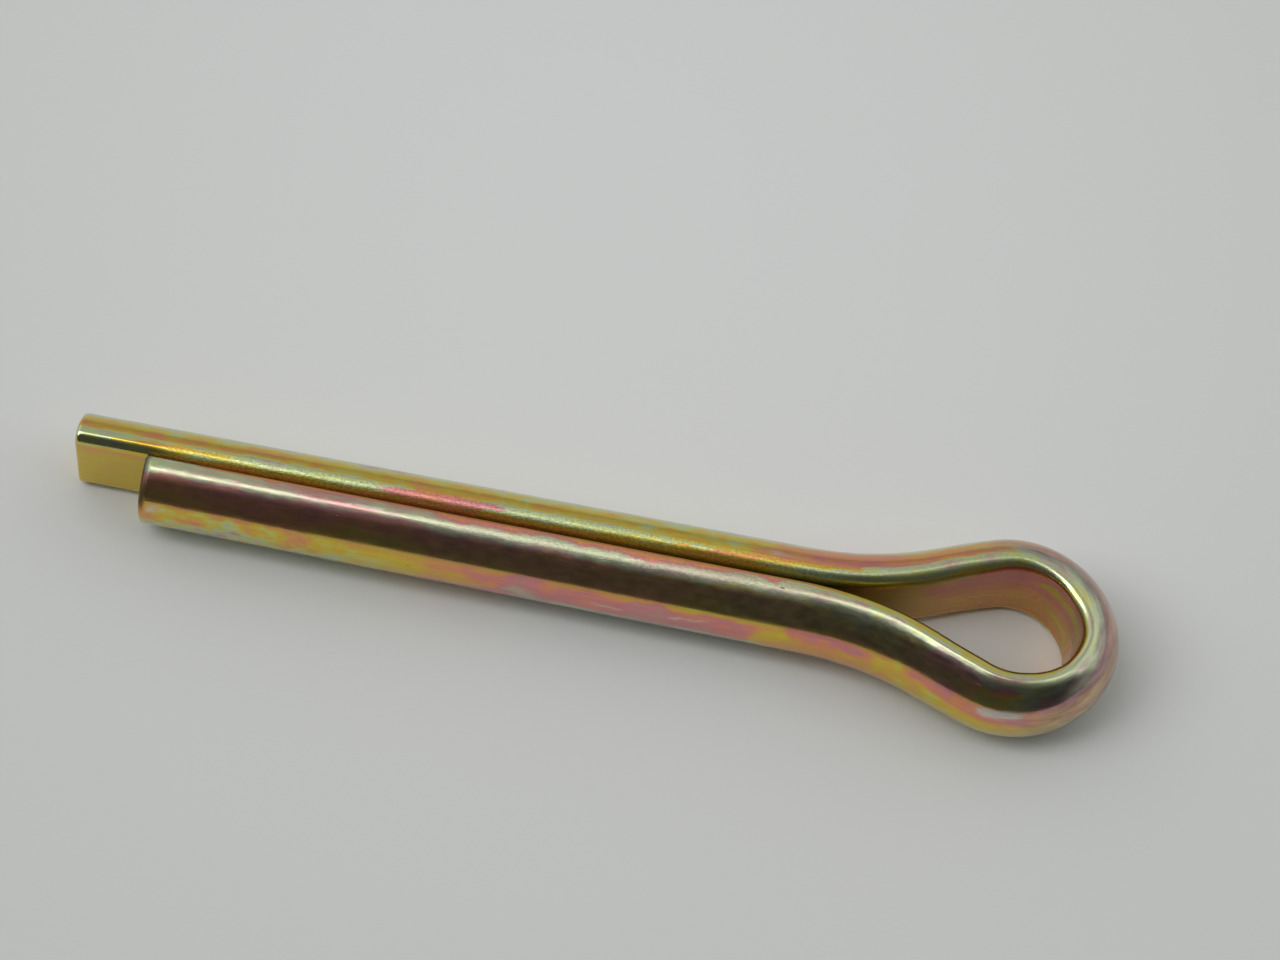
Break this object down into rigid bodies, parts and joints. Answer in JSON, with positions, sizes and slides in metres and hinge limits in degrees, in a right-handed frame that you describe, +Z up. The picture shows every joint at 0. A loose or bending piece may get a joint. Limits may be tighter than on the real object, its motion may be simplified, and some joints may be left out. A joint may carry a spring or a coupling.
{
  "type": "cotter pin",
  "caption": "Split pin of half-round steel wire folded flat to flat, with legs of unequal length and a drop-shaped eye.",
  "frame": {"origin": "middle of the pin's outline, on the surface that it lies on", "axes": "+X along the legs towards the eye, +Y across both legs towards the longer one, +Z up from the surface"},
  "size_m": [0.0952, 0.0186, 0.0089],
  "materials": {
    "zinc_plate": "yellow zinc plating with an iridescent passivate, bright, with fine draw marks along the wire"
  },
  "bodies": {
    "root": {"cotter_pin": "zinc_plate"}
  },
  "joints": []
}
